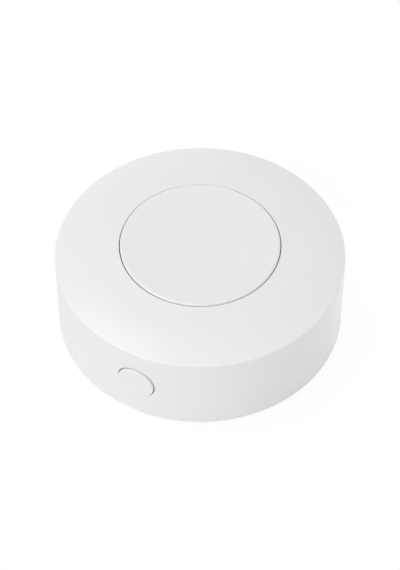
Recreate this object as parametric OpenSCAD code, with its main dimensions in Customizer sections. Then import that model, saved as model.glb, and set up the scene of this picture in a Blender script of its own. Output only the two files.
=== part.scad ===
// Round smart button: a crowned white housing with a thumb button on top, a small round
// side button on its wall, and a bayonet cover underneath that opens onto a coin cell.
// Millimetres. The origin is the centre of the base, +Z is up and the side button faces -Y.

/* [Housing] */
// Overall diameter
body_d = 45; // [43:0.5:60]
// Overall height, from the base to the rim of the main button
body_h = 16.2; // [15.5:0.1:22]
// Thickness of the wall and of the crowned top
wall = 1.6; // [1.2:0.1:2]
// Radius of the sphere that crowns the top
crown_r = 107.5; // [90:0.5:180]
// Radius of the tighter shoulder between the crown and the edge
shoulder_r = 36; // [25:1:60]
// Width of that shoulder, in from the wall
shoulder_w = 6; // [4:0.1:7]
// Rounding of the edge between the crown and the wall
edge_round = 0.25; // [0.2:0.05:0.8]
// Rounding of the lower edge of the wall
foot_round = 0.3; // [0.2:0.1:0.8]
// Rounding of the rim around the main button
rim_round = 0.15; // [0.1:0.05:0.3]
// Height of the wall's lower rim above the base
foot_lift = 0.2; // [0.1:0.1:0.6]

/* [Main button] */
// Diameter of the main button
cap_d = 24.8; // [20:0.1:28]
// Gap around the main button
cap_gap = 0.12; // [0.1:0.01:0.4]
// Height of the button's rim above the housing
cap_proud = 0.2; // [0:0.01:0.3]
// Depth of the dished top
cap_dish = 0.25; // [0.1:0.05:0.4]
// Rounding of the button's edge
cap_round = 0.3; // [0.15:0.05:0.4]
// Thickness of the button's plate at its rim
cap_t = 1.6; // [1.4:0.1:2]
// Thickness of the skirt that guides the button
skirt_t = 1; // [0.6:0.1:1.2]
// Diameter of the boss that presses the switch
cap_boss_d = 4.4; // [3.8:0.1:5]
// Stroke of both buttons
travel = 0.3; // [0.2:0.05:0.35]
// Thickness of the floor of the well under the button
well_floor_t = 1; // [0.8:0.1:1.4]
// Thickness of the wall of that well
well_wall = 1.2; // [1:0.1:1.6]

/* [Snap legs] */
// Number of snap legs that hold the main button
leg_count = 3; // [2:1:4]
// Thickness of a leg
leg_t = 0.8; // [0.6:0.1:1]
// Width of a leg, as an angle
leg_angle = 14; // [10:1:20]
// Reach of the barb on a leg
barb_reach = 0.55; // [0.5:0.05:0.7]
// Height of the barb
barb_h = 0.85; // [0.6:0.05:0.9]
// Room for a leg to flex inwards in its slot
leg_flex = 0.7; // [0.6:0.1:1]

/* [Return spring] */
// Wire diameter
wire_d = 0.5; // [0.3:0.05:0.6]
// Turns
spring_turns = 3.5; // [2.5:0.5:4]
// Mean radius of the small end, under the button
spring_top_r = 4.6; // [4:0.1:5]

/* [Side button] */
// Diameter of the side button
side_d = 5.9; // [4.8:0.1:7.2]
// Gap around the side button
side_gap = 0.15; // [0.1:0.01:0.3]
// Height of its face above the wall
side_proud = 0.3; // [0:0.05:0.4]
// Rounding of its edge
side_round = 0.25; // [0.1:0.05:0.5]
// Overhang of the flange that keeps it in
side_flange = 0.8; // [0.5:0.1:1]
// Thickness of that flange
side_flange_t = 0.8; // [0.6:0.1:1]
// Depth of the flat pad inside the wall that the flange stops on
side_pad = 0.9; // [0.8:0.1:1.2]

/* [Bottom cover] */
// Thickness of the cover
cover_t = 1.5; // [1.3:0.1:2]
// Gap around the cover
cover_gap = 0.2; // [0.1:0.05:0.4]
// Length of the coin slot
coin_slot_l = 14; // [10:0.5:16]
// Width of the coin slot
coin_slot_w = 2.2; // [1.8:0.1:3]
// Depth of the coin slot
coin_slot_depth = 0.9; // [0.6:0.1:1]
// Turn that opens the cover, in degrees
bayonet_turn = 45; // [40:1:45]
// Width of a bayonet tab, as an angle
tab_angle = 36; // [28:1:36]
// Thickness of a bayonet tab
tab_t = 1; // [0.8:0.1:1.2]
// Thickness of the ledge that holds a tab
ledge_t = 0.8; // [0.6:0.1:1]
// Radial depth of that ledge
ledge_reach = 1.7; // [1.4:0.1:2]

/* [Battery] */
// Diameter of the coin cell
battery_d = 24.5; // [20:0.5:29.5]
// Height of the coin cell
battery_h = 5; // [3.2:0.1:6]
// Radial gap between the cell and its pocket
battery_gap = 0.3; // [0.2:0.05:0.5]
// Thickness of the pocket's wall
pocket_wall = 1.1; // [0.9:0.1:1.4]

/* [Circuit board] */
// Thickness of the board
board_t = 1; // [0.8:0.1:1.2]
// Width of the square main switch
switch_w = 6; // [5:0.1:6.5]
// Height of the main switch's body
switch_h = 1.4; // [1.2:0.1:1.8]
// Length by which a switch's plunger stands out
plunger_out = 0.7; // [0.5:0.1:1]
// Height of the side switch, which sets the height of the side button
side_switch_h = 3; // [2.8:0.1:3.6]
// Depth of the side switch
side_switch_depth = 2.4; // [2:0.1:3]

/* [Screws] */
// Shank diameter
screw_d = 1.9; // [1.6:0.1:2.2]
// Length under the head
screw_l = 6; // [5:0.5:6]
// Head diameter
screw_head_d = 3.6; // [3.2:0.1:4]
// Head height
screw_head_h = 1.3; // [1:0.1:1.6]

/* [Hidden] */
$fn = 96;
// Facets of the very large arcs of the crown and the dish
wide_fn = 720;

// Running clearance between pieces that slide or turn on each other
slip = 0.05;
// Overlap that fuses two shapes of one piece
fuse = 0.4;
// Length that carries a cut clear of a surface
past = 2;
// Angle at which a turned shape starts, between the features set into it
seam_angle = 180;

// Radii of the shell
body_r = body_d / 2;
inner_r = body_r - wall;
cap_r = cap_d / 2;
hole_r = cap_r + cap_gap;
well_r = hole_r + well_wall;

// The crown passes through the rim of the hole
rim_z = body_h - cap_proud;
crown_c = rim_z - sqrt(pow(crown_r, 2) - pow(hole_r, 2));

// The shoulder leaves the crown along its tangent
shoulder_at = body_r - shoulder_w;
shoulder_tilt = asin(shoulder_at / crown_r);
shoulder_c = [
  (crown_r - shoulder_r) * sin(shoulder_tilt),
  crown_c + (crown_r - shoulder_r) * cos(shoulder_tilt)
];

// Heights from the base upwards
battery_lift = 0.2;
battery_z = cover_t + battery_lift;
battery_top = battery_z + battery_h;
contact_room = 0.6;
ceiling_t = 1;
ceiling_z = battery_top + contact_room;
board_gap = 0.6;
board_z = ceiling_z + ceiling_t + board_gap;
board_top = board_z + board_t;
switch_top = board_top + switch_h;
plunger_top = switch_top + plunger_out;
floor_z = switch_top + 2 * slip;
floor_top = floor_z + well_floor_t;
side_z = board_z - side_switch_h / 2;

// Heights under the main button
cap_under = body_h - cap_t;
dish_r = (pow(cap_r, 2) + pow(cap_dish, 2)) / (2 * cap_dish);
dish_c = body_h - cap_dish + dish_r;
skirt_z = floor_top + 2 * travel;
cap_boss_z = plunger_top + slip;
boss_room = 0.4;
floor_hole_r = cap_boss_d / 2 + boss_room;

// Snap legs, let into the inside of the skirt
leg_bite = 0.25;
leg_r = cap_r - skirt_t - leg_t / 2 + leg_bite;
slot_in_r = leg_r - leg_t / 2 - leg_flex;
slot_out_r = leg_r + leg_t / 2 + barb_reach / 2;
slot_side_room = 2;
slot_angle = leg_angle + 2 * slot_side_room;
leg_start = 270;

// Return spring, from the well's floor to the underside of the button
spring_room = 0.6;
spring_base_r = slot_in_r - wire_d - spring_room;
spring_sides = 6;
spring_rings = 28;

// Screw bosses, clear of the battery pocket
pocket_r = battery_d / 2 + battery_gap;
pocket_out_r = pocket_r + pocket_wall;
screw_room = 0.4;
boss_at = pocket_out_r + screw_head_d / 2 + screw_room;
boss_r = 2.2;
ear_r = 2.4;
ear_t = ceiling_t + board_gap;
screw_angles = [90, 210, 330];
screw_gap = 0.2;
boss_skin = 1.2;

// Side button, measured outwards from the axis of the housing
pad_face = inner_r - side_pad;
side_r = side_d / 2;
flange_r = side_r + side_flange;
flange_front = pad_face - slip;
flange_back = flange_front - side_flange_t;
nub_l = 0.3;
nub_r = 1.2;
nub_end = flange_back - nub_l;
side_switch_front = nub_end - slip - plunger_out;
side_switch_w = 6;
board_room = 1.6;
board_r = inner_r - board_room;
board_lip = 0.2;
board_flat = side_switch_front + board_lip;

// Switch details
switch_sheet = 0.2;
switch_floor = 0.4;
dome_t = 0.08;
dome_h = 0.4;
flange_t = 0.35;
main_plunger_r = 1.75;
main_cavity_r = 2.35;
side_plunger_r = 0.9;
side_cavity_r = 1.2;
side_cavity_depth = 1.2;
terminal_w = 0.7;

// Bayonet: the tabs keep clear of the side button over their whole turn
cover_r = inner_r - cover_gap;
ledge_z = cover_t + slip;
tab_z = ledge_z + ledge_t + slip;
ledge_in = inner_r - ledge_reach;
ring_room = 1;
ring_out = ledge_in - ring_room;
ring_t = 1.2;
tab_out = inner_r - 2 * cover_gap;
stop_angle = 2;
ledge_angle = tab_angle + 2 * stop_angle;
side_clear = 17;
bayonet_count = 3;
bayonet_start = 270 + side_clear + bayonet_turn + tab_angle / 2;
bayonet_angles = [for (i = [0 : bayonet_count - 1]) bayonet_start + i * 360 / bayonet_count];

// Contacts
strip_t = 0.25;
strip_w = 4;
strip_room = 0.5;

// Distance along a circle at an angle
function polar(r, a) = [r * cos(a), r * sin(a)];

// Height of the top at a radius: the crown, or further out the shoulder
function top_at(r) = r < shoulder_at
  ? crown_c + sqrt(pow(crown_r, 2) - pow(r, 2))
  : shoulder_c[1] + sqrt(pow(shoulder_r, 2) - pow(r - shoulder_c[0], 2));

// Unit vector across a path at point i, from the directions on both sides of it
function across(path, i) =
  let (
    before = path[max(i, 1)] - path[max(i, 1) - 1],
    after = path[min(i, len(path) - 2) + 1] - path[min(i, len(path) - 2)],
    along = before / norm(before) + after / norm(after)
  )
  [-along[1], along[0]] / norm(along);

// Outline of a strip of even thickness along a path
function strip(path, t) = concat(
  [for (i = [0 : len(path) - 1]) path[i] + across(path, i) * t / 2],
  [for (i = [len(path) - 1 : -1 : 0]) path[i] - across(path, i) * t / 2]
);

// Rounds one convex corner of a section: c is the centre of the arc, r its radius, and the arc
// runs between the angles a1 and a2, where it meets the two sides
module rounded(c, r, a1, a2) {
  reach = 3 * r;
  corner = 1.6 * reach;
  middle = (a1 + a2) / 2;
  difference() {
    children();
    polygon([c, c + polar(reach, a1), c + polar(corner, middle), c + polar(reach, a2)]);
  }
  translate(c) circle(r);
}

// Rounds the corner between an arc of the top, with its centre and radius, and a vertical side;
// c_r is the distance of the rounding's centre from the axis
module top_rounded(arc_c, arc_r, c_r, r, side_angle) {
  c = [c_r, arc_c[1] + sqrt(pow(arc_r - r, 2) - pow(c_r - arc_c[0], 2))];
  rounded(c, r, side_angle, atan2(c[1] - arc_c[1], c_r - arc_c[0])) children();
}

// Half section of all that lies under the top, or under its inner surface at a depth
module under_top(depth) {
  join = shoulder_at - depth * sin(shoulder_tilt);
  intersection() {
    square([join, body_h]);
    translate([0, crown_c]) circle(crown_r - depth, $fn = wide_fn);
  }
  intersection() {
    translate([join - fuse, 0]) square([body_r - join + fuse, body_h]);
    translate(shoulder_c) circle(shoulder_r - depth, $fn = wide_fn);
  }
}

// A block of a ring, r1 to r2 and z1 to z2, centred on angle a
module ring_block(r1, r2, z1, z2, a, width) {
  rotate([0, 0, a - width / 2])
    rotate_extrude(angle = width)
      translate([r1, z1]) square([r2 - r1, z2 - z1]);
}

// Turns a shape made along +Z into one that points out of the wall at the side button
module at_side() {
  translate([0, 0, side_z]) rotate([90, 0, 0]) children();
}

// Places a copy at each screw
module at_screws() {
  for (a = screw_angles) rotate([0, 0, a]) translate([boss_at, 0, 0]) children();
}

// Half section of the shell with the button's well
module housing_section() {
  top_rounded(shoulder_c, shoulder_r, body_r - edge_round, edge_round, 0)
    rounded([body_r - foot_round, foot_lift + foot_round], foot_round, -90, 0)
      top_rounded([0, crown_c], crown_r, hole_r + rim_round, rim_round, 180)
        difference() {
          intersection() {
            translate([0, foot_lift]) square([body_r, body_h]);
            under_top(0);
          }
          translate([0, -past]) square([inner_r, floor_z + past]);
          intersection() {
            translate([well_r, 0]) square([inner_r - well_r, body_h]);
            under_top(wall);
          }
          translate([0, floor_top]) square([hole_r, body_h]);
          square([floor_hole_r, body_h]);
        }
}

module screw_bosses() {
  boss_top = top_at(boss_at + boss_r) - wall / 3;
  at_screws()
    translate([0, 0, board_top]) cylinder(r = boss_r, h = boss_top - board_top);
}

module boss_webs() {
  web_t = 1;
  web_lift = 0.6;
  web_z = board_top + web_lift;
  web_top = top_at(inner_r) - wall / 2;
  for (a = screw_angles)
    rotate([0, 0, a])
      translate([boss_at, -web_t / 2, web_z])
        cube([inner_r + fuse - boss_at, web_t, web_top - web_z]);
}

// Ledges that hold the tabs, each with a stop for the tab at its closed end
module bayonet_ledges() {
  stop_in = ledge_in + slip;
  for (a = bayonet_angles) {
    ring_block(ledge_in, inner_r + fuse, ledge_z, ledge_z + ledge_t, a, ledge_angle);
    ring_block(stop_in, inner_r + fuse / 2, ledge_z + ledge_t / 2, tab_z + tab_t,
      a + ledge_angle / 2 - stop_angle, stop_angle);
  }
}

// Crowned outer shell with the button's well, screw bosses and bayonet ledges
module upper_housing() {
  color("white")
    difference() {
      union() {
        rotate([0, 0, seam_angle]) rotate_extrude() housing_section();
        screw_bosses();
        boss_webs();
        bayonet_ledges();
        at_side() translate([0, 0, pad_face])
          cylinder(r = flange_r + fuse, h = wall / 2 + side_pad);
      }
      at_screws()
        translate([0, 0, board_top - past])
          cylinder(d = screw_d + 2 * slip, h = top_at(boss_at) - boss_skin - board_top + past);
      for (i = [0 : leg_count - 1])
        ring_block(slot_in_r, slot_out_r, floor_z - past, floor_top + past,
          leg_start + i * 360 / leg_count, slot_angle);
      at_side() translate([0, 0, pad_face - past])
        cylinder(r = side_r + side_gap, h = body_r);
    }
}

module cap_section() {
  c_r = cap_r - cap_round;
  c = [c_r, dish_c - sqrt(pow(dish_r + cap_round, 2) - pow(c_r, 2))];
  rounded(c, cap_round, 0, atan2(dish_c - c[1], -c_r))
    difference() {
      union() {
        translate([0, cap_under]) square([cap_r, cap_t]);
        translate([cap_r - skirt_t, skirt_z]) square([skirt_t, body_h - cap_dish - skirt_z]);
        translate([0, cap_boss_z]) square([cap_boss_d / 2, body_h - cap_t / 2 - cap_boss_z]);
      }
      translate([0, dish_c]) circle(dish_r, $fn = wide_fn);
    }
}

// One snap leg with its barb, which hooks under the well's floor
module snap_leg(a) {
  r1 = leg_r - leg_t / 2;
  r2 = leg_r + leg_t / 2;
  barb_top = floor_z - slip;
  barb_z = barb_top - barb_h;
  barb_nose = 0.25;
  rotate([0, 0, a - leg_angle / 2])
    rotate_extrude(angle = leg_angle)
      polygon([
        [r1, cap_under + fuse], [r1, barb_z], [r2, barb_z],
        [r2 + barb_reach, barb_top - barb_nose], [r2 + barb_reach, barb_top],
        [r2, barb_top], [r2, cap_under + fuse]
      ]);
}

// Dished thumb button with its guiding skirt, switch boss and snap legs
module main_button() {
  color("white") {
    rotate_extrude() cap_section();
    for (i = [0 : leg_count - 1]) snap_leg(leg_start + i * 360 / leg_count);
  }
}

// Point of the spring's axis at a share t of its length; the ends lie flat
function spring_point(t) =
  let (
    ease = t * t * (3 - 2 * t),
    r = spring_base_r + (spring_top_r - spring_base_r) * t,
    z1 = floor_top + wire_d / 2,
    z2 = cap_under - wire_d / 2
  )
  concat(polar(r, 360 * spring_turns * t), z1 + (z2 - z1) * ease);

// Ring of points around the wire at a share t, in the plane of the spring's axis
function spring_ring(t) =
  let (p = spring_point(t), a = 360 * spring_turns * t)
  [for (k = [0 : spring_sides - 1])
    let (w = polar(wire_d / 2, 360 * k / spring_sides + 30))
    p + concat(polar(w[0], a), w[1])];

// Conical return spring under the main button
module return_spring() {
  n = ceil(spring_turns * spring_rings);
  s = spring_sides;
  points = [for (i = [0 : n]) each spring_ring(i / n)];
  sides = [for (i = [0 : n - 1]) for (k = [0 : s - 1])
    let (a = i * s + k, b = i * s + (k + 1) % s)
    each [[a, a + s, b], [b, a + s, b + s]]];
  first = [for (k = [1 : s - 2]) [0, k, k + 1]];
  last = [for (k = [1 : s - 2]) [n * s, n * s + k + 1, n * s + k]];
  color("silver") polyhedron(points, concat(sides, first, last));
}

module side_section() {
  square([nub_r, flange_back + fuse]);
  translate([0, flange_back]) square([flange_r, side_flange_t]);
  rounded([side_r - side_round, body_r + side_proud - side_round], side_round, 0, 90)
    translate([0, flange_back]) square([side_r, body_r + side_proud - flange_back]);
}

// Small round side button: its face follows the wall and its flange stops inside it
module side_button() {
  color("white")
    intersection() {
      at_side() rotate_extrude() intersection() {
        side_section();
        translate([0, nub_end]) square([body_r, body_r]);
      }
      cylinder(r = body_r + side_proud, h = body_h);
    }
}

// Arms of the frame that take the screws
module frame_ears() {
  at_screws() translate([0, 0, ceiling_z]) cylinder(r = ear_r, h = ear_t);
  for (a = screw_angles)
    rotate([0, 0, a])
      translate([pocket_r, -ear_r, ceiling_z]) cube([boss_at - pocket_r, 2 * ear_r, ear_t]);
}

// Frame that holds the cell in a pocket and clamps the board against the screw bosses
module inner_frame() {
  pocket_lift = 0.5;
  pocket_z = cover_t + pocket_lift;
  color("whitesmoke")
    difference() {
      union() {
        translate([0, 0, pocket_z]) cylinder(r = pocket_out_r, h = ceiling_z + ceiling_t - pocket_z);
        frame_ears();
      }
      translate([0, 0, pocket_z - past]) cylinder(r = pocket_r, h = ceiling_z - pocket_z + past);
      at_screws() translate([0, 0, ceiling_z - past])
        cylinder(r = screw_d / 2 + screw_gap, h = ear_t + 2 * past);
      // Window for the leaf on the cell's negative face
      translate([negative_foot_x, -strip_w / 2 - strip_room, ceiling_z - past])
        cube([negative_end_x - negative_foot_x, strip_w + 2 * strip_room, ear_t + 2 * past]);
      // Window for the leaf on the cell's side
      translate([pocket_r - past, -strip_w / 2 - strip_room, pocket_z - past])
        cube([pocket_wall + 2 * past, strip_w + 2 * strip_room, ceiling_z - pocket_z + past]);
      // Relief behind the side switch
      translate([-side_switch_w / 2 - strip_room, -body_r, pocket_z - past])
        cube([
          side_switch_w + 2 * strip_room,
          body_r - side_switch_front + side_switch_depth + strip_room,
          board_z
        ]);
    }
}

// Screws that fasten the frame and the board, with pan heads
module frame_screws() {
  tip = 0.8;
  head_round = 0.5;
  head_r = screw_head_d / 2;
  color("silver")
    at_screws() translate([0, 0, ceiling_z]) rotate_extrude() {
      rounded([head_r - head_round, head_round - screw_head_h], head_round, -90, 0)
        translate([0, -screw_head_h]) square([head_r, screw_head_h]);
      polygon([[0, -fuse], [screw_d / 2, -fuse], [screw_d / 2, screw_l - tip], [0, screw_l]]);
    }
}

// Round board, cut flat behind the side button
module circuit_board() {
  flat_margin = 1;
  flat_w = 2 * (flange_r + flat_margin);
  color("darkgreen")
    difference() {
      translate([0, 0, board_z]) cylinder(r = board_r, h = board_t);
      at_screws() translate([0, 0, board_z - past])
        cylinder(r = screw_d / 2 + screw_gap, h = board_t + 2 * past);
      translate([-flat_w / 2, -body_r - board_flat, board_z - past])
        cube([flat_w, body_r, board_t + 2 * past]);
    }
}

// Shapes shared by both switches, drawn upright on z = 0; w and d are the body's plan
module switch_base(w, d, h, cavity_r, floor_t) {
  difference() {
    translate([-w / 2, -d / 2, 0]) cube([w, d, h - switch_sheet]);
    translate([0, 0, floor_t]) cylinder(r = cavity_r, h = h);
  }
}

module switch_cover(w, d, h, hole) {
  flap_h = h / 2;
  difference() {
    union() {
      translate([-w / 2, -d / 2, h - switch_sheet]) cube([w, d, switch_sheet]);
      for (side = [-1, 1])
        translate([side * (w + switch_sheet) / 2 - switch_sheet / 2, -d / 4, h - flap_h])
          cube([switch_sheet, d / 2, flap_h]);
    }
    cylinder(r = hole, h = 2 * h);
  }
}

module switch_plunger(h, cavity_r, stem_r) {
  flange_z = h - switch_sheet - slip - flange_t;
  translate([0, 0, flange_z]) cylinder(r = cavity_r - 2 * slip, h = flange_t);
  translate([0, 0, flange_z]) cylinder(r = stem_r, h = h + plunger_out - flange_z);
}

module switch_dome(cavity_r) {
  edge_r = cavity_r - 4 * slip;
  dome_r = (pow(edge_r, 2) + pow(dome_h, 2)) / (2 * dome_h);
  rotate_extrude() intersection() {
    translate([0, switch_floor]) square([edge_r, dome_h]);
    translate([0, switch_floor + dome_h - dome_r]) difference() {
      circle(dome_r, $fn = wide_fn);
      circle(dome_r - dome_t, $fn = wide_fn);
    }
  }
}

// Bent feet on the two sides of a switch, at distance y from its middle
module switch_terminals(w, y, rise) {
  foot_l = 1.2;
  half = w / 2 + switch_sheet / 2;
  path = [[half + foot_l, switch_sheet / 2], [half, switch_sheet / 2], [half, rise]];
  for (sx = [0, 1])
    mirror([sx, 0, 0])
      for (sy = [-1, 1])
        translate([0, sy * y + terminal_w / 2, 0])
          rotate([90, 0, 0]) linear_extrude(terminal_w) polygon(strip(path, switch_sheet));
}

module at_main_switch() {
  translate([0, 0, board_top]) children();
}

module at_side_switch() {
  at_side() translate([0, 0, side_switch_front - side_switch_depth]) children();
}

module main_switch_base() {
  color("dimgray") at_main_switch()
    switch_base(switch_w, switch_w, switch_h, main_cavity_r, switch_floor);
}

module main_switch_terminals() {
  foot_at = 0.375 * switch_w;
  foot_rise = 0.7;
  color("silver") at_main_switch() rotate([0, 0, 90]) switch_terminals(switch_w, foot_at, foot_rise);
}

module main_switch_cover() {
  color("lightgray") at_main_switch()
    switch_cover(switch_w, switch_w, switch_h, main_plunger_r + 2 * slip);
}

module main_switch_dome() {
  color("silver") at_main_switch() switch_dome(main_cavity_r);
}

module main_switch_plunger() {
  color("black") at_main_switch() switch_plunger(switch_h, main_cavity_r, main_plunger_r);
}

module side_switch_base() {
  color("dimgray") at_side_switch()
    switch_base(side_switch_w, side_switch_h, side_switch_depth, side_cavity_r,
      side_switch_depth - side_cavity_depth);
}

// Two flat tails that stand on the board's underside at the ends of the side switch
module side_switch_terminals() {
  tail_l = 1.6;
  color("silver")
    for (side = [-1, 1])
      translate([
        side * (side_switch_w / 2 + terminal_w / 2) - terminal_w / 2,
        -side_switch_front + side_switch_depth / 4,
        board_z - tail_l
      ])
        cube([terminal_w, side_switch_depth / 2, tail_l]);
}

module side_switch_cover() {
  color("lightgray") at_side_switch()
    difference() {
      translate([-side_switch_w / 2, -side_switch_h / 2, side_switch_depth - switch_sheet])
        cube([side_switch_w, side_switch_h, switch_sheet]);
      cylinder(r = side_plunger_r + 2 * slip, h = 2 * side_switch_depth);
    }
}

module side_switch_plunger() {
  color("black") at_side_switch() switch_plunger(side_switch_depth, side_cavity_r, side_plunger_r);
}

// A flat block of a component on top of the board, centred at a place and turned by a
module on_board(place, a, size) {
  translate([place[0], place[1], board_top]) rotate([0, 0, a])
    translate([-size[0] / 2, -size[1] / 2, 0]) cube(size);
}

module radio_chip() {
  place = [-7.6, 0];
  size = [5, 5, 0.85];
  color("black") on_board(place, 0, size);
}

module crystal() {
  place = [-6.4, -5.6];
  size = [3.2, 2.5, 0.7];
  color("silver") on_board(place, 45, size);
}

module status_led() {
  place = [0, 8.2];
  size = [1.6, 0.8, 0.6];
  color("ivory") on_board(place, 0, size);
}

module chip_capacitors() {
  chip_at = 7.6;
  size = [0.8, 1.6, 0.7];
  color("tan")
    for (a = [-45 : 18 : 45]) on_board(polar(chip_at, a), a, size);
}

module chip_resistors() {
  chip_at = 7.8;
  size = [0.8, 1.6, 0.45];
  color("black")
    for (a = [62, 118, 138, 300]) on_board(polar(chip_at, a), a, size);
}

// Printed antenna: a meander near the edge of the board
module antenna_trace() {
  trace_w = 0.5;
  trace_t = 0.1;
  teeth = 6;
  pitch = 1.2;
  depth = 2.6;
  edge = 0.7;
  color("goldenrod")
    rotate([0, 0, 150]) translate([board_r - edge - depth, -teeth * pitch / 2, board_top])
      linear_extrude(trace_t) {
        for (i = [0 : teeth]) translate([0, i * pitch]) square([depth, trace_w]);
        for (i = [0 : teeth - 1])
          translate([i % 2 == 0 ? 0 : depth - trace_w, i * pitch]) square([trace_w, pitch + trace_w]);
      }
}

// Ends of the negative leaf's window, along X
negative_foot_x = -8.5;
negative_end_x = 5;

// A strip of sheet metal along a path of x and z, centred on y = 0
module leaf(path) {
  translate([0, strip_w / 2, 0]) rotate([90, 0, 0])
    linear_extrude(strip_w) polygon(strip(path, strip_t));
}

// Leaf that stands off the board beside the pocket and presses on the side of the cell
module positive_contact() {
  foot_z = board_z - strip_t / 2;
  cell_r = battery_d / 2 + strip_t / 2 + slip;
  stand_gap = 0.3;
  stand_x = pocket_out_r + strip_t / 2 + stand_gap;
  stand_z = ceiling_z - 0.6;
  foot_l = 2.4;
  bend = 0.2;
  press_z = battery_z + battery_h / 2 + 0.5;
  press_l = 0.8;
  lead_in = [0.5, -1.1];
  press_end = [cell_r, press_z - press_l];
  color("gold")
    leaf([
      [stand_x + foot_l, foot_z], [stand_x + bend, foot_z], [stand_x, foot_z - bend],
      [stand_x, stand_z], [cell_r, press_z], press_end, press_end + lead_in
    ]);
}

// Leaf that reaches from the board through the frame's ceiling to the cell's negative face
module negative_contact() {
  foot_z = board_z - strip_t / 2;
  face_z = battery_top + strip_t / 2 + slip;
  foot_start = [negative_foot_x + 0.6, foot_z];
  foot_end = foot_start + [2.4, 0];
  bend = [0.6, -0.3];
  press_end = [1.2, face_z];
  lead_in = [2.2, 0.5];
  color("gold")
    leaf([foot_start, foot_end, foot_end + bend, [0, face_z], press_end, press_end + lead_in]);
}

// Coin cell: can, seal and cap, from outside to inside
cell_sheet = 0.3;
cell_lip = 0.9;
seal_t = 0.4;
cell_step = 0.4;

module battery_can() {
  r = battery_d / 2;
  color("silver")
    translate([0, 0, battery_z]) rotate_extrude()
      difference() {
        rounded([r - cell_sheet, cell_sheet], cell_sheet, -90, 0) square([r, battery_h - cell_step]);
        translate([0, cell_sheet]) square([r - cell_sheet, battery_h - cell_step - 2 * cell_sheet]);
        translate([0, cell_sheet]) square([r - cell_lip, battery_h]);
      }
}

module battery_gasket() {
  r = battery_d / 2 - cell_sheet;
  top = battery_h - cell_step - cell_sheet;
  color("black")
    translate([0, 0, battery_z]) rotate_extrude() {
      translate([r - seal_t, cell_sheet]) square([seal_t, top - cell_sheet]);
      translate([battery_d / 2 - cell_lip - seal_t, top - seal_t])
        square([cell_lip - cell_sheet + seal_t, seal_t]);
      translate([battery_d / 2 - cell_lip - seal_t, top - seal_t])
        square([seal_t, seal_t + cell_sheet]);
    }
}

// Cap of the cell, with the charge that fills the can
module battery_cap() {
  wide = battery_d / 2 - cell_sheet - seal_t;
  narrow = battery_d / 2 - cell_lip - seal_t;
  shoulder = battery_h - cell_step - cell_sheet - seal_t;
  color("lightgray")
    translate([0, 0, battery_z]) rotate_extrude()
      rounded([narrow - cell_sheet, battery_h - cell_sheet], cell_sheet, 0, 90)
        polygon([
          [0, cell_sheet], [wide, cell_sheet], [wide, shoulder], [narrow, shoulder],
          [narrow, battery_h], [0, battery_h]
        ]);
}

module cover_section() {
  bevel = 0.3;
  seat_r = 8;
  seat_w = 1.2;
  rounded([cover_r - bevel, bevel], bevel, -90, 0) square([cover_r, cover_t]);
  translate([ring_out - ring_t, cover_t - fuse]) square([ring_t, tab_z + tab_t - cover_t + fuse]);
  translate([seat_r, cover_t - fuse]) square([seat_w, battery_lift - slip + fuse]);
}

// Battery cover with a coin slot, turned by a coin to free its bayonet tabs
module bottom_cover() {
  half = (coin_slot_l - coin_slot_w) / 2;
  color("white")
    difference() {
      union() {
        rotate([0, 0, seam_angle]) rotate_extrude() cover_section();
        for (a = bayonet_angles)
          ring_block(ring_out - fuse, tab_out, tab_z, tab_z + tab_t, a - stop_angle, tab_angle);
      }
      translate([0, 0, -past]) linear_extrude(coin_slot_depth + past) {
        translate([-half, -coin_slot_w / 2]) square([2 * half, coin_slot_w]);
        for (side = [-1, 1]) translate([side * half, 0]) circle(d = coin_slot_w);
      }
    }
}

upper_housing();
main_button();
return_spring();
side_button();
inner_frame();
frame_screws();
circuit_board();
main_switch_base();
main_switch_terminals();
main_switch_cover();
main_switch_dome();
main_switch_plunger();
side_switch_base();
side_switch_terminals();
side_switch_cover();
side_switch_plunger();
radio_chip();
crystal();
status_led();
chip_capacitors();
chip_resistors();
antenna_trace();
positive_contact();
negative_contact();
battery_can();
battery_gasket();
battery_cap();
bottom_cover();
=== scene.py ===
import math
from functools import reduce

import bpy
import numpy as np
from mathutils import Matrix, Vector


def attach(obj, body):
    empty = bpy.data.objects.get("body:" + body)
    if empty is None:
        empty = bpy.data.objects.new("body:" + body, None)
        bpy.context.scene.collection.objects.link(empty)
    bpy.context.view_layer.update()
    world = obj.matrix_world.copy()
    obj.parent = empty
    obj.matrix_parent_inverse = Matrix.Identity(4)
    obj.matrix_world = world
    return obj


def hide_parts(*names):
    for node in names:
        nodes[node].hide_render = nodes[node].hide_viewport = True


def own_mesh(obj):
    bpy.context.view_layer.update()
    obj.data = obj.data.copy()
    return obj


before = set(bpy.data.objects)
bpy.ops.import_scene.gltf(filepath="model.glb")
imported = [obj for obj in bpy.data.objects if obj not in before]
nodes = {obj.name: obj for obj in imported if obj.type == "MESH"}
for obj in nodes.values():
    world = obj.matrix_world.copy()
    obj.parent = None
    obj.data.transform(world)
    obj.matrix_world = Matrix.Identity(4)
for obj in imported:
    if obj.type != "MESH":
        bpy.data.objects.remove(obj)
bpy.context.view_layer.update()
scene = bpy.context.scene
scene.view_settings.view_transform = "Standard"
mm = 0.001
print("frame:", len(nodes), "parts loaded")


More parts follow.
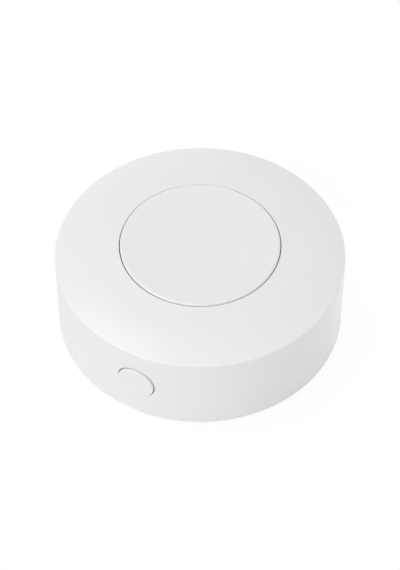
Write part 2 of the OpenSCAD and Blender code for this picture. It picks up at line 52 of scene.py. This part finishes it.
# A node's output; + - * / and abs, with wires or numbers, add Math nodes
class Wire:
    def __init__(self, tree, socket=None):
        self.tree, self.socket = tree, socket

    # Any node: its type, its settings, then the values or links of its sockets
    def node(self, kind, settings={}, inputs={}, out=0):
        made = self.tree.nodes.new("ShaderNode" + kind)
        for key, value in settings.items():
            setattr(made, key, value)
        for key, value in inputs.items():
            if isinstance(value, Wire):
                self.tree.links.new(value.socket, made.inputs[key])
            else:
                made.inputs[key].default_value = value
        return Wire(self.tree, made.outputs[out] if len(made.outputs) else None)

    def math(self, operation, *values):
        return self.node("Math", {"operation": operation}, dict(enumerate(values)))

    def __add__(self, other):
        return self.math("ADD", self, other)

    def __sub__(self, other):
        return self.math("SUBTRACT", self, other)

    def __rsub__(self, other):
        return self.math("SUBTRACT", other, self)

    def __mul__(self, other):
        return self.math("MULTIPLY", self, other)

    def __truediv__(self, other):
        return self.math("DIVIDE", self, other)

    def __rtruediv__(self, other):
        return self.math("DIVIDE", other, self)

    __radd__, __rmul__ = __add__, __mul__

    def __abs__(self):
        return self.math("ABSOLUTE", self)

    def most(self, other):
        return self.math("MAXIMUM", self, other)

    # 0 below low and 1 above high, with a soft step between them
    def rise(self, low, high):
        return self.node("MapRange", {"interpolation_type": "SMOOTHSTEP"},
                         {"Value": self, "From Min": low, "From Max": high})

    # 1 below low and 0 above high
    def fall(self, low, high):
        return 1 - self.rise(low, high)

    # A pattern from 0 to 1 as a change of up to half the amount either way
    def swing(self, amount):
        return (self - 0.5) * amount

    # Colour a where the wire is 0, colour b where it is 1; 6, 7 and 2 are the node's colour sockets
    def mix(self, a, b):
        a, b = (c if isinstance(c, Wire) else (*c, 1) for c in (a, b))
        return self.node("Mix", {"data_type": "RGBA"}, {0: self, 6: a, 7: b}, 2)

    def noise(self, scale, detail=2, rough=0.5, stretch=None):
        at = self
        if stretch is not None:
            at = self.node("Mapping", {}, {"Vector": self, "Scale": stretch})
        return self.node("TexNoise", {}, {"Vector": at, "Scale": scale, "Detail": detail,
                                          "Roughness": rough})

    # The three parts of a vector
    def parts(self):
        split = self.node("SeparateXYZ", {}, {0: self}).socket.node
        return [Wire(self.tree, o) for o in split.outputs]


# A first wire in the emptied node tree of a material or the world
def emptyTree(owner):
    owner.use_nodes = True
    owner.node_tree.nodes.clear()
    return Wire(owner.node_tree)


# A material's tree, started from Object coordinates in millimetres
def startFinish(name):
    made = bpy.data.materials.new(name)
    spot = emptyTree(made).node("TexCoord", out="Object")
    return made, spot.node("VectorMath", {"operation": "SCALE"}, {0: spot, "Scale": 1 / mm})


# Closes a tree with its shader: wires or numbers for colour, rough and metal, a height wire in
# millimetres for bump, and the values of any other sockets
def endFinish(made, spot, colour, rough, metal=0.0, height=None, **others):
    values = {"Base Color": colour if isinstance(colour, Wire) else (*colour, 1),
              "Roughness": rough, "Metallic": metal, **others}
    if height is not None:
        values["Normal"] = spot.node("Bump", {}, {"Strength": 1.0, "Distance": mm,
                                                  "Height": height})
    shader = spot.node("BsdfPrincipled", {}, values)
    spot.node("OutputMaterial", {}, {"Surface": shader})
    return made


# Gives CAD parts a finish in place of their plain one
def dress(made, *names):
    for name in names:
        data = nodes[name].data
        data.materials.clear()
        data.materials.append(made)


# Unit vector by degrees round from -Y towards +X and degrees up
def towards(azimuth, elevation):
    a, e = math.radians(azimuth), math.radians(elevation)
    return Vector((math.sin(a) * math.cos(e), -math.cos(a) * math.cos(e), math.sin(e)))


# Sets a camera or lamp up at a point, looking along a direction
def setUp(name, data, at, look):
    made = bpy.data.objects.new(name, data)
    scene.collection.objects.link(made)
    made.location = at
    made.rotation_mode = "QUATERNION"
    made.rotation_quaternion = look.to_track_quat("-Z", "Y")
    return made


cameraSet = {"azimuth": 25.65, "elevation": 49.84, "distance": 323.5 * mm,
             "aim": (-0.025 * mm, -0.012 * mm, 6.155 * mm),
             "lens": 129.5, "sensor": 36, "near": 0.01, "far": 50}


def placeCamera(s):
    back = towards(s["azimuth"], s["elevation"])
    data = bpy.data.cameras.new("photoCamera")
    data.lens, data.sensor_width = s["lens"], s["sensor"]
    data.clip_start, data.clip_end = s["near"], s["far"]
    scene.camera = setUp("photoCamera", data, Vector(s["aim"]) + back * s["distance"], -back)


placeCamera(cameraSet)

# Bearings are degrees to the right of the camera as seen from above
lampSet = {
    "key": {"bearing": -55, "height": 40, "away": 1.6, "size": (0.6, 0.65), "watts": 4.65},
    "lowFill": {"bearing": -19, "height": 12, "away": 1.6, "size": (0.9, 0.9), "watts": 2.95},
    "leftHigh": {"bearing": -113, "height": 64, "away": 1.6, "size": (0.5, 0.7), "watts": 2.75},
    "top": {"bearing": 10, "height": 80, "away": 1.6, "size": (0.9, 0.9), "watts": 1.78},
    "lowBack": {"bearing": -168, "height": 12, "away": 1.6, "size": (0.9, 0.9), "watts": 0.95},
    "rimStrip": {"bearing": 103, "height": 6, "away": 0.05, "size": (0.03, 0.01),
                 "watts": 0.0029, "glint": False},
}


def placeLamp(name, s):
    out = towards(cameraSet["azimuth"] + s["bearing"], s["height"])
    data = bpy.data.lights.new(name, "AREA")
    data.shape, data.energy = "RECTANGLE", s["watts"]
    data.size, data.size_y = s["size"]
    made = setUp(name, data, out * s["away"], -out)
    made.visible_camera, made.visible_glossy = False, s.get("glint", True)


for name, s in lampSet.items():
    placeLamp(name, s)

worldSet = {"light": 0.63, "seen": 1.0}


# How much of a studio surface's own glow each kind of ray sees: from the camera, or off gloss and
# through glass
def seenRay(start, direct=1.0, bounced=1.0):
    rays = ("Is Camera Ray", "Is Glossy Ray", "Is Transmission Ray")
    camera, gloss, glass = (start.node("LightPath", out=ray) for ray in rays)
    return (camera * direct).most(gloss.most(glass) * bounced)


def makeWorld(s):
    made = bpy.data.worlds.new("whiteStudio")
    start = emptyTree(made)
    level = seenRay(start) * (s["seen"] - s["light"]) + s["light"]
    back = start.node("Background", {}, {"Color": (1, 1, 1, 1), "Strength": level})
    start.node("OutputWorld", {}, {"Surface": back})
    scene.world = made


makeWorld(worldSet)

floorSet = {"half": 4.0, "low": 0.02 * mm, "colour": (0.88, 0.88, 0.88), "glow": 1.03,
            "direct": 0.86, "bounced": 0.2}


# A flat square a hair below the base, whose seen light is mostly its own glow, so the shadow on it
# stays faint
def makeFloor(s):
    h, z = s["half"], -s["low"]
    mesh = bpy.data.meshes.new("studioFloor")
    mesh.from_pydata([(-h, -h, z), (h, -h, z), (h, h, z), (-h, h, z)], [], [(0, 1, 2, 3)])
    made = bpy.data.objects.new("studioFloor", mesh)
    scene.collection.objects.link(made)
    paper = bpy.data.materials.new("paperFloor")
    start = emptyTree(paper)
    matt = start.node("BsdfDiffuse", {}, {"Color": (*s["colour"], 1)})
    glow = start.node("Emission", {}, {"Color": (1, 1, 1, 1), "Strength": s["glow"]})
    seen = seenRay(start, s["direct"], s["bounced"])
    both = start.node("MixShader", {}, {0: seen, 1: matt, 2: glow})
    start.node("OutputMaterial", {}, {"Surface": both})
    mesh.materials.append(paper)


makeFloor(floorSet)
print("studio: camera,", len(lampSet), "lamps, floor")


def tinted(colour, share):
    return [c * share for c in colour]


# A share of the colour where the wire is low, and all of it where the wire is high
def clouded(wire, colour, share, low=0.3, high=0.7):
    return wire.rise(low, high).mix(tinted(colour, share), colour)


# Soft-edged band: 1 where the wire is within half of middle
def band(wire, middle, half, soft=0.04):
    return abs(wire - middle).fall(half - soft, half + soft)


def between(wire, low, high, soft):
    return band(wire, (low + high) / 2, (high - low) / 2, soft)


# Root of the sum of two squares
def length(x, y):
    square = x * x + y * y
    return square.math("SQRT", square)


# Distance from the axis, angle about it in degrees, and height
def polar(spot):
    x, y, z = spot.parts()
    return length(x, y), y.math("ARCTAN2", y, x) * (180 / math.pi), z


# Round dot of radius size at distance r and angle a, on faces below the height top
def dot(spot, r, a, size, top, soft=0.04, step=0.02):
    x, y, z = spot.parts()
    far = length(x - r * math.cos(math.radians(a)), y - r * math.sin(math.radians(a)))
    return far.fall(size - soft, size + soft) * z.fall(top, top + step)


plasticSet = {"cloud": 0.15, "grainGloss": 0.12, "cloudGloss": 0.06, "coatRough": 0.22}
housingSet = {"colour": (0.86, 0.86, 0.86), "shade": 0.996, "rough": 0.32, "ior": 1.58,
              "grain": 7.0, "lift": 0.0012,
              "marks": {"r": 21.55, "closed": 90, "open": 45, "size": 0.34, "top": 0.25,
                        "tint": 0.86, "sunk": 0.08},
              "edge": {"r": 22.3, "low": 13.85, "soft": 0.1, "rough": 0.24, "coat": 0.6}}
buttonSet = {"colour": (0.86, 0.86, 0.86), "shade": 0.996, "rough": 0.3, "ior": 1.58,
             "grain": 8.0, "lift": 0.001,
             "edge": {"cap": 12.4, "capEnd": (12.5, 12.6), "side": 2.95, "sideAt": 7.4,
                      "wall": (-22.2, -22), "wide": 0.3, "rough": 0.2, "coat": 1.0}}


# The housing's rounded top edge: far from the axis and near the top of the wall
def topEdge(spot, k):
    x, y, z = spot.parts()
    return length(x, y).rise(k["r"] - k["soft"], k["r"]) * z.rise(k["low"] - k["soft"], k["low"])


# The buttons' rounded edges: a ring about the thumb button's axis and one about the side button's
def buttonEdges(spot, k):
    x, y, z = spot.parts()
    capR, sideR = length(x, y), length(x, z - k["sideAt"])
    cap = capR.rise(k["cap"] - k["wide"], k["cap"]) * capR.fall(*k["capEnd"])
    side = sideR.rise(k["side"] - k["wide"], k["side"]) * y.fall(*k["wall"])
    return cap.most(side)


# Moulded white plastic: a fine eroded grain, and faint clouds in colour and gloss; the foot has a
# dot where the cover's pointer stands closed and a ring where it stands open, and rounded edges
# come glossy from a polished part of the mould
def satinPlastic(name, s, edges):
    made, spot = startFinish(name)
    grain = spot.noise(s["grain"], 3, 0.6)
    cloud = spot.noise(plasticSet["cloud"])
    colour = clouded(cloud, s["colour"], s["shade"])
    height = grain * s["lift"]
    m = s.get("marks")
    if m:
        ring = (dot(spot, m["r"], m["open"], m["size"], m["top"])
                - dot(spot, m["r"], m["open"], m["size"] / 2, m["top"]))
        cut = dot(spot, m["r"], m["closed"], m["size"], m["top"]).most(ring)
        colour = cut.mix(colour, tinted(s["colour"], m["tint"]))
        height = height - cut * m["sunk"]
    k, p = s["edge"], plasticSet
    shine = edges(spot, k)
    rough = s["rough"] + grain.swing(p["grainGloss"]) + cloud.swing(p["cloudGloss"])
    rough = rough + shine * (k["rough"] - s["rough"])
    others = {"IOR": s["ior"], "Coat Weight": shine * k["coat"], "Coat Roughness": p["coatRough"]}
    return endFinish(made, spot, colour, rough, height=height, **others)


dress(satinPlastic("satinHousing", housingSet, topEdge), "upper_housing")
dress(satinPlastic("satinButton", buttonSet, buttonEdges), "main_button", "side_button")
print("white plastics done")

coverSet = {"colour": (0.84, 0.84, 0.84), "shade": 0.97, "rough": 0.55, "grain": 4.0,
            "lift": 0.004, "cloud": 0.2, "grainGloss": 0.2, "markGloss": 0.1, "tint": 0.86,
            "sunk": 0.12,
            "arrow": {"r": 11, "half": 0.35, "tip": 60, "neck": 70, "tail": 120, "flare": 6,
                      "tailSoft": 0.3, "headSoft": 0.2, "top": (0.02, 0.1)},
            "pointer": {"r": 18.7, "turn": 90, "size": 0.55, "top": 0.05}}


# Spark-eroded cover: coarse grain, a curved arrow for the turn that opens it, and a pointer dot;
# the arrow's head widens evenly with the angle from its tip
def erodedCover(name, s):
    made, spot = startFinish(name)
    r, turn, z = polar(spot)
    grain = spot.noise(s["grain"], 4, 0.65)
    cloud = spot.noise(s["cloud"])
    k, p = s["arrow"], s["pointer"]
    shaft = band(r, k["r"], k["half"]) * between(turn, k["neck"], k["tail"], k["tailSoft"])
    head = (abs(r - k["r"]) * k["flare"] + 1 - (turn - k["tip"])).fall(0, 1)
    head = head * between(turn, k["tip"], k["neck"], k["headSoft"])
    arrow = shaft.most(head) * z.fall(*k["top"])
    cut = arrow.most(dot(spot, p["r"], p["turn"], p["size"], p["top"]))
    tint = (cloud * 0.5 + grain * 0.5).mix(tinted(s["colour"], s["shade"]), s["colour"])
    colour = cut.mix(tint, tinted(s["colour"], s["tint"]))
    rough = s["rough"] + grain.swing(s["grainGloss"]) - cut * s["markGloss"]
    return endFinish(made, spot, colour, rough, height=grain * s["lift"] - cut * s["sunk"])


dress(erodedCover("erodedCover", coverSet), "bottom_cover")

frameSet = {"colour": (0.72, 0.72, 0.7), "shade": 0.93, "rough": 0.45, "flow": 0.9,
            "stretch": (0.25, 1, 1), "flowGloss": 0.15, "grain": 9, "grainGloss": 0.08,
            "lift": 0.002, "pins": [(6.5, -9), (-6.5, -9), (8, 8), (-8, 8)],
            "pinR": 1.1, "pinLine": 0.06, "pinDeep": 0.04}


# Natural moulded plastic: drawn-out flow clouds and the round marks of ejector pins
def mouldedFrame(name, s):
    made, spot = startFinish(name)
    x, y, _ = spot.parts()
    flow = spot.noise(s["flow"], 3, 0.55, s["stretch"])
    grain = spot.noise(s["grain"])
    rings = [band(length(x - px, y - py), s["pinR"], s["pinLine"]) for px, py in s["pins"]]
    pins = reduce(Wire.most, rings)
    colour = clouded(flow, s["colour"], s["shade"], 0.35)
    rough = s["rough"] + flow.swing(s["flowGloss"]) + grain.swing(s["grainGloss"])
    return endFinish(made, spot, colour, rough, height=grain * s["lift"] - pins * s["pinDeep"])


dress(mouldedFrame("mouldedFrame", frameSet), "inner_frame")

workSet = {"shade": 0.82, "lineGloss": 0.2, "dull": 0.8, "dullFrom": (0.5, 0.75), "dullGloss": 0.1}
metalSet = {
    "drawnWire": {"colour": (0.62, 0.62, 0.6), "rough": 0.28, "scale": 6,
                  "stretch": (1, 1, 8), "lift": 0.003},
    "zincScrew": {"colour": (0.6, 0.6, 0.62), "rough": 0.32, "scale": 5,
                  "stretch": (1, 1, 1), "lift": 0.004},
    "tinPlate": {"colour": (0.7, 0.7, 0.7), "rough": 0.3, "scale": 7,
                 "stretch": (1, 1, 1), "lift": 0.004},
    "stampedSteel": {"colour": (0.6, 0.6, 0.59), "rough": 0.3, "scale": 14,
                     "stretch": (0.08, 1, 1), "lift": 0.003},
    "platedBronze": {"colour": (0.75, 0.6, 0.32), "rough": 0.27, "scale": 12,
                     "stretch": (0.06, 1, 0.5), "lift": 0.003},
}


# Bare metal: lengthwise drawing or rolling lines, and duller patches
def workedMetal(name, s):
    made, spot = startFinish(name)
    w = workSet
    lines = spot.noise(s["scale"], 4, 0.6, s["stretch"])
    dull = spot.noise(w["dull"], 3)
    colour = clouded(lines * 0.6 + dull * 0.4, s["colour"], w["shade"])
    patches = dull.rise(*w["dullFrom"]) * w["dullGloss"]
    rough = s["rough"] + lines.swing(w["lineGloss"]) + patches
    return endFinish(made, spot, colour, rough, 1.0, lines * s["lift"])


metals = {name: workedMetal(name, s) for name, s in metalSet.items()}
dress(metals["stampedSteel"], "main_switch_cover", "side_switch_cover", "crystal")
dress(metals["tinPlate"], "main_switch_terminals", "side_switch_terminals")
dress(metals["platedBronze"], "positive_contact", "negative_contact")

cellSet = {"colour": (0.65, 0.65, 0.64), "shade": 0.85, "rough": 0.26, "turning": (9, 3, 0.004),
           "lift": 0.003, "ringGloss": 0.15, "dull": 0.35, "dullFrom": (0.5, 0.7),
           "dullGloss": 0.08,
           "sign": {"face": 1.75, "step": 0.05, "arm": 2.6, "half": 0.45, "sunk": 0.1}}


# Nickel plated cell: fine turned rings, with a plus sign pressed into the can's face
def turnedNickel(name, s, signed):
    made, spot = startFinish(name)
    r, turn, z = polar(spot)
    x, y, _ = spot.parts()
    across = [w * share for w, share in zip((r, z, turn), s["turning"])]
    rings = spot.node("CombineXYZ", {}, dict(enumerate(across))).noise(1.0, 4, 0.6)
    dull = spot.noise(s["dull"], 3)
    height = rings * s["lift"]
    if signed:
        k = s["sign"]
        flat = band(x, 0, k["arm"]) * band(y, 0, k["half"])
        tall = band(y, 0, k["arm"]) * band(x, 0, k["half"])
        plus = flat.most(tall) * z.fall(k["face"], k["face"] + k["step"])
        height = height - plus * k["sunk"]
    colour = clouded(rings * 0.5 + dull * 0.5, s["colour"], s["shade"])
    patches = dull.rise(*s["dullFrom"]) * s["dullGloss"]
    rough = s["rough"] + rings.swing(s["ringGloss"]) + patches
    return endFinish(made, spot, colour, rough, 1.0, height)


dress(turnedNickel("cellCan", cellSet, True), "battery_can")
dress(turnedNickel("cellCap", cellSet, False), "battery_cap")

boardSet = {"mask": (0.03, 0.16, 0.08), "track": (0.05, 0.26, 0.12), "core": (0.42, 0.38, 0.2),
            "print": (0.75, 0.76, 0.72), "edge": 19.24, "edgeStep": 0.03, "top": (9.7, 9.8),
            "pitch": 1.27, "line": (0.3, 0.34), "patch": 0.22, "via": 0.42, "viaRing": (0.1, 0.05),
            "viaTint": 1.3, "coreTint": 0.7, "bare": (0.3, 0.32), "printLine": (0.12, 0.07),
            "printed": [(0, 0, 3.4, 4.7), (-7.6, 0, 2.8, 2.8), (0, 8.2, 1.2, 0.7)],
            "rough": 0.32, "inkGloss": 0.25, "edgeGloss": 0.4, "weave": 3, "weaveGloss": 0.08,
            "lift": 0.02, "weaveLift": 0.002}


# Printed line just outside a rectangle of half sizes w and h round a point
def outline(x, y, line, px, py, w, h):
    reach = (abs(x - px) - w).most(abs(y - py) - h)
    return band(reach, *line, 0.02)


# Parallel tracks: the two outer ends of each step of a pitch
def lanes(wire, s):
    steps = wire / s["pitch"]
    return abs(steps.math("FRACT", steps) - 0.5).rise(*s["line"])


# Green board: tracks in cells that run one way or the other, some cells left out, vias, printed
# outlines and a bare rim
def printedBoard(name, s):
    made, spot = startFinish(name)
    x, y, z = spot.parts()
    cells = spot.node("TexVoronoi", {"distance": "CHEBYCHEV"},
                      {"Vector": spot, "Scale": s["patch"], "Randomness": 0.8}, "Color").parts()[0]
    way = cells.rise(0.49, 0.51)
    tracks = lanes(x, s) * way + lanes(y, s) * (1 - way)
    tracks = tracks * cells.math("PINGPONG", cells * 7, 1.0).rise(*s["bare"])
    via = spot.node("TexVoronoi", {}, {"Vector": spot, "Scale": s["via"], "Randomness": 1.0},
                    "Distance")
    ring = band(via, *s["viaRing"], 0.02)
    ink = reduce(Wire.most, [outline(x, y, s["printLine"], *row) for row in s["printed"]])
    rim = length(x, y).rise(s["edge"], s["edge"] + s["edgeStep"])
    weave = spot.noise(s["weave"], 3)
    colour = tracks.mix(s["mask"], s["track"])
    colour = ring.mix(colour, tinted(s["track"], s["viaTint"]))
    colour = (ink * z.rise(*s["top"])).mix(colour, s["print"])
    colour = rim.mix(colour, weave.mix(tinted(s["core"], s["coreTint"]), s["core"]))
    rough = s["rough"] + ink * s["inkGloss"] + rim * s["edgeGloss"] + weave.swing(s["weaveGloss"])
    height = (tracks * s["lift"] + ring * s["lift"] + weave * s["weaveLift"]) * (1 - rim)
    return endFinish(made, spot, colour, rough, height=height)


dress(printedBoard("greenBoard", boardSet), "circuit_board")

speckSet = {"shade": 0.75, "cloud": 0.9, "grainGloss": 0.2, "cloudGloss": 0.1}
smallSet = {
    "blackSwitch": {"colour": (0.03, 0.03, 0.03), "rough": 0.5, "grain": 10, "lift": 0.003},
    "blackEpoxy": {"colour": (0.02, 0.02, 0.021), "rough": 0.58, "grain": 14, "lift": 0.005},
    "firedCeramic": {"colour": (0.45, 0.32, 0.2), "rough": 0.55, "grain": 12, "lift": 0.004},
    "sealRubber": {"colour": (0.04, 0.04, 0.04), "rough": 0.7, "grain": 6, "lift": 0.004},
    "copperTrack": {"colour": (0.72, 0.45, 0.2), "rough": 0.38, "grain": 8, "lift": 0.003,
                    "metal": 1.0},
    "clearResin": {"colour": (0.85, 0.83, 0.7), "rough": 0.16, "grain": 2, "lift": 0.002},
}


# Small moulded, fired or etched pieces: fine grain with lighter and darker specks
def smallFinish(name, s):
    made, spot = startFinish(name)
    k = speckSet
    grain = spot.noise(s["grain"], 3, 0.6)
    cloud = spot.noise(k["cloud"])
    colour = clouded(grain * 0.6 + cloud * 0.4, s["colour"], k["shade"])
    rough = s["rough"] + grain.swing(k["grainGloss"]) + cloud.swing(k["cloudGloss"])
    return endFinish(made, spot, colour, rough, s.get("metal", 0.0), grain * s["lift"])


small = {name: smallFinish(name, s) for name, s in smallSet.items()}
dress(small["blackSwitch"], "main_switch_base", "main_switch_plunger",
      "side_switch_base", "side_switch_plunger")
dress(small["blackEpoxy"], "radio_chip", "chip_resistors")
dress(small["firedCeramic"], "chip_capacitors")
dress(small["sealRubber"], "battery_gasket")
dress(small["copperTrack"], "antenna_trace")
dress(small["clearResin"], "status_led")
print("finishes done on", len(nodes), "parts")


# Skins grids of points (copies, rows, columns, xyz): columns wrap round and both ends close on a
# point; the faces are turned outwards by the sign of the volume that the first copy encloses
def skin(name, grids, made, crease=40):
    grids = np.asarray(grids, float)
    count, rows, cols, _ = grids.shape
    ends = grids[:, [0, -1]].mean(2)
    points = np.concatenate([grids.reshape(count, -1, 3), ends], 1)
    i = np.arange(rows * cols).reshape(rows, cols)
    a, b = i[:-1], i[1:]
    quads = np.stack([a, b, np.roll(b, -1, 1), np.roll(a, -1, 1)], -1).reshape(-1, 4)
    low = np.stack([np.full(cols, rows * cols), i[0], np.roll(i[0], -1)], -1)
    high = np.stack([np.full(cols, rows * cols + 1), np.roll(i[-1], -1), i[-1]], -1)
    fans = np.concatenate([low, high])
    flat = np.concatenate([quads[:, :3], quads[:, [0, 2, 3]], fans])
    p, q, t = (points[0][flat[:, k]] for k in range(3))
    if (p * np.cross(q, t)).sum() < 0:
        quads, fans = quads[:, ::-1], fans[:, ::-1]
    step = np.arange(count)[:, None, None] * points.shape[1]
    faces = (quads + step).reshape(-1, 4).tolist() + (fans + step).reshape(-1, 3).tolist()
    mesh = bpy.data.meshes.new(name)
    mesh.from_pydata((points.reshape(-1, 3) * mm).tolist(), [], faces)
    mesh.polygons.foreach_set("use_smooth", np.ones(len(mesh.polygons), bool))
    mesh.set_sharp_from_angle(angle=math.radians(crease))
    mesh.materials.append(made)
    piece = bpy.data.objects.new(name, mesh)
    scene.collection.objects.link(piece)
    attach(piece, "housing")
    return piece


# Angles of the points of one ring
def ringAngles(sides):
    return np.linspace(0, 2 * np.pi, sides, endpoint=False)[None, :]


# Points by their distance from the Z axis, angle about it and height
def aboutZ(r, a, z):
    return np.stack(np.broadcast_arrays(r * np.cos(a), r * np.sin(a), z), -1)


# A shape's own x, y and z turned about Z and set down at a centre
def setDown(centre, turn, x, y, z):
    return np.stack(np.broadcast_arrays(centre[0] + x * np.cos(turn) - y * np.sin(turn),
                                        centre[1] + x * np.sin(turn) + y * np.cos(turn),
                                        centre[2] + z), -1)


# From 0 to 1 over a width
def ramp(value, width):
    return np.clip(value / width, 0, 1)


springSet = {"wire": 0.49, "turns": 3.5, "wide": 9.05, "narrow": 4.6, "low": 12.4, "high": 14.6,
             "inset": 0.25, "rings": 280, "sides": 14, "pressed": 0.3}


# Round wire along a cone's helix: the radius falls evenly and the height eases in at both ends
def returnSpring(s):
    t = np.linspace(0, 1, s["rings"])[:, None]
    b = ringAngles(s["sides"])
    turn = 2 * np.pi * s["turns"] * t
    half = s["wire"] / 2
    climb = s["high"] - s["low"] - 2 * s["inset"]
    reach = s["wide"] + (s["narrow"] - s["wide"]) * t + half * np.cos(b)
    lift = s["low"] + s["inset"] + climb * t * t * (3 - 2 * t) + half * np.sin(b)
    piece = skin("returnSpring", [aboutZ(reach, turn, lift)], metals["drawnWire"])
    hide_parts("return_spring")
    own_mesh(piece)


returnSpring(springSet)

domeSet = {"edge": 2.15, "rise": 0.4, "thick": 0.08, "seat": 10.3, "lip": 0.15, "middle": 0.05,
           "rows": (22, 20), "sides": 64, "pressed": 0.3}


# Thin dome turned about Z: an arc from the middle to the edge, a flat lip, and the arc beneath
def snapDome(s):
    big = (s["edge"] ** 2 + s["rise"] ** 2) / (2 * s["rise"])
    arc = lambda r: s["seat"] + s["rise"] - big + np.sqrt(big ** 2 - r ** 2)
    up = np.linspace(s["middle"], s["edge"], s["rows"][0])
    down = np.linspace(s["edge"] - s["lip"], s["middle"], s["rows"][1])
    r = np.concatenate([up, down])[:, None]
    z = np.concatenate([arc(up), np.maximum(arc(down) - s["thick"], s["seat"])])[:, None]
    grid = aboutZ(r, ringAngles(s["sides"]), z)
    piece = skin("snapDome", [grid], metals["stampedSteel"])
    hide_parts("main_switch_dome")
    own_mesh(piece)


snapDome(domeSet)

screwSet = {"at": 15.85, "angles": (90, 210, 330), "seat": 7.3, "sides": 72,
            "head": 1.8, "headHigh": 1.3, "round": 0.5, "middle": 0.04,
            "shank": 0.95, "neck": 1.1, "long": 6.0, "tip": 0.8, "taper": (0.1, 0.95),
            "faceRows": 16, "bendRows": 9, "threadRows": 110, "tipRows": 8,
            "pitch": 0.75, "bite": 0.17, "flank": 0.8, "runIn": (0.3, 0.5), "runOut": (0.1, 0.7),
            "cross": 1.05, "crossSoft": 0.12, "arm": 0.24, "armSoft": 0.08, "sunk": 0.55}


# A profile of distance and height turned about the screw's axis; a cross is sunk into the head's
# face, and the shank's radius follows a ridge that climbs one pitch for each turn
def frameScrews(s):
    face = np.linspace(s["middle"], s["head"] - s["round"], s["faceRows"])
    bend = np.radians(np.linspace(-90, 0, s["bendRows"])[1:])
    up = np.linspace(0.02, s["long"] - s["tip"], s["threadRows"])
    tip = np.linspace(*s["taper"], s["tipRows"])
    r = np.concatenate([face, s["head"] - s["round"] + s["round"] * np.cos(bend),
                        [s["head"], s["neck"]], up * 0 + s["shank"], s["shank"] * (1 - tip)])
    z = np.concatenate([face * 0 - s["headHigh"], s["round"] * (1 + np.sin(bend)) - s["headHigh"],
                        [0, 0], up, s["long"] - s["tip"] + s["tip"] * tip])
    b = ringAngles(s["sides"])
    r, z = r[:, None] + 0 * b, z[:, None] + 0 * b
    onFace = np.arange(len(z))[:, None] < len(face)
    thin = np.minimum(abs(r * np.cos(b)), abs(r * np.sin(b)))
    inCross = ramp(s["arm"] - thin, s["armSoft"]) * ramp(s["cross"] - r, s["crossSoft"])
    deep = s["sunk"] * (1 - 0.5 * r / s["cross"])
    ridge = abs((z / s["pitch"] - b / (2 * np.pi)) % 1 - 0.5) * 2
    start, startLong = s["runIn"]
    end, endLong = s["runOut"]
    onShank = ramp(z - start, startLong) * ramp(s["long"] - end - z, endLong)
    r = r - s["bite"] * onShank * ramp(1 - ridge, s["flank"])
    z = z + inCross * deep * onFace
    grids = [aboutZ(r, b + a, s["seat"] + z) + (s["at"] * np.cos(a), s["at"] * np.sin(a), 0)
             for a in np.radians(s["angles"])]
    piece = skin("frameScrews", grids, metals["zincScrew"])
    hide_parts("frame_screws")


frameScrews(screwSet)

chipSet = {"kinds": [{"at": 7.6, "angles": (-45, -27, -9, 9, 27, 45), "high": 0.7},
                     {"at": 7.8, "angles": (62, 118, 138, 300), "high": 0.45}],
           "long": 1.6, "wide": 0.8, "end": 0.3, "proud": 0.02, "past": 0.01, "board": 9.9}


# Each end of each chip: its kind, its angle, and a point beside the chip's middle along the ring
def chipPoints(s, out):
    return [(k, a, k["at"] * np.cos(a) - t * np.sin(a), k["at"] * np.sin(a) + t * np.cos(a))
            for k in s["kinds"] for a in np.radians(k["angles"]) for t in (-out, out)]


# Box with rounded edges as a flattened ball: powers of sine and cosine square its outline
def softBox(centre, half, turn, power=0.22, rows=14, cols=28):
    u = np.linspace(-0.5, 0.5, rows + 2)[1:-1, None] * np.pi
    v = ringAngles(cols)
    lift = lambda w: np.sign(w) * abs(w) ** power
    x = half[0] * lift(np.cos(u)) * lift(np.cos(v))
    y = half[1] * lift(np.cos(u)) * lift(np.sin(v))
    return setDown(centre, turn, x, y, half[2] * lift(np.sin(u)))


# Tinned ends on both ends of each chip, a hair proud of its body
def chipEnds(s):
    grids = []
    for k, a, x, y in chipPoints(s, s["long"] / 2 - s["end"] / 2 + s["past"]):
        high = k["high"] + s["proud"]
        half = (s["wide"] / 2 + s["proud"], s["end"] / 2, high / 2)
        grids.append(softBox((x, y, s["board"] + high / 2), half, a))
    skin("chipEnds", grids, metals["tinPlate"], 60)


chipEnds(chipSet)

# Sizes are half widths across and along, then the height
solderSet = {"board": 9.9, "under": 8.9, "sunk": 0.02, "middle": 0.05, "rows": (8, 3), "sides": 24,
             "feet": [(2.25, 4.0), (-2.25, 4.0), (2.25, -4.0), (-2.25, -4.0)],
             "foot": (0.55, 0.8, 0.3),
             "tails": [(3.35, -16.9), (-3.35, -16.9)], "tail": (0.6, 0.95, 0.6),
             "chip": (0.42, 0.3, 0.35), "chipOut": 0.92}


# Low mound of solder: height falls from the middle as the square of one less the distance squared,
# over a flat underside let into the board; up is 1 above the board and -1 below it, where the turn
# round the middle is reversed too, so that the faces still point outwards
def mound(s, x, y, z, size, turn=0, up=1):
    across, along, high = size
    out = np.linspace(s["middle"], 1, s["rows"][0])
    back = np.linspace(1 - s["middle"], s["middle"], s["rows"][1])
    d = np.concatenate([out, back])[:, None]
    rise = np.concatenate([high * (1 - out ** 2) ** 2, back * 0 - s["sunk"]])[:, None]
    v = ringAngles(s["sides"])
    return setDown((x, y, z), turn, across * d * np.cos(v), up * along * d * np.sin(v), up * rise)


# Mounds on the main switch's feet, on the side switch's tails and at both ends of each chip
def solderJoints(s, c):
    grids = [mound(s, x, y, s["board"], s["foot"]) for x, y in s["feet"]]
    grids += [mound(s, x, y, s["under"], s["tail"], up=-1) for x, y in s["tails"]]
    grids += [mound(s, x, y, s["board"], s["chip"], a)
              for _, a, x, y in chipPoints(c, s["chipOut"])]
    skin("solderJoints", grids, metals["tinPlate"], 60)


solderJoints(solderSet, chipSet)
print("new pieces: spring, dome, screws, chip ends, solder")
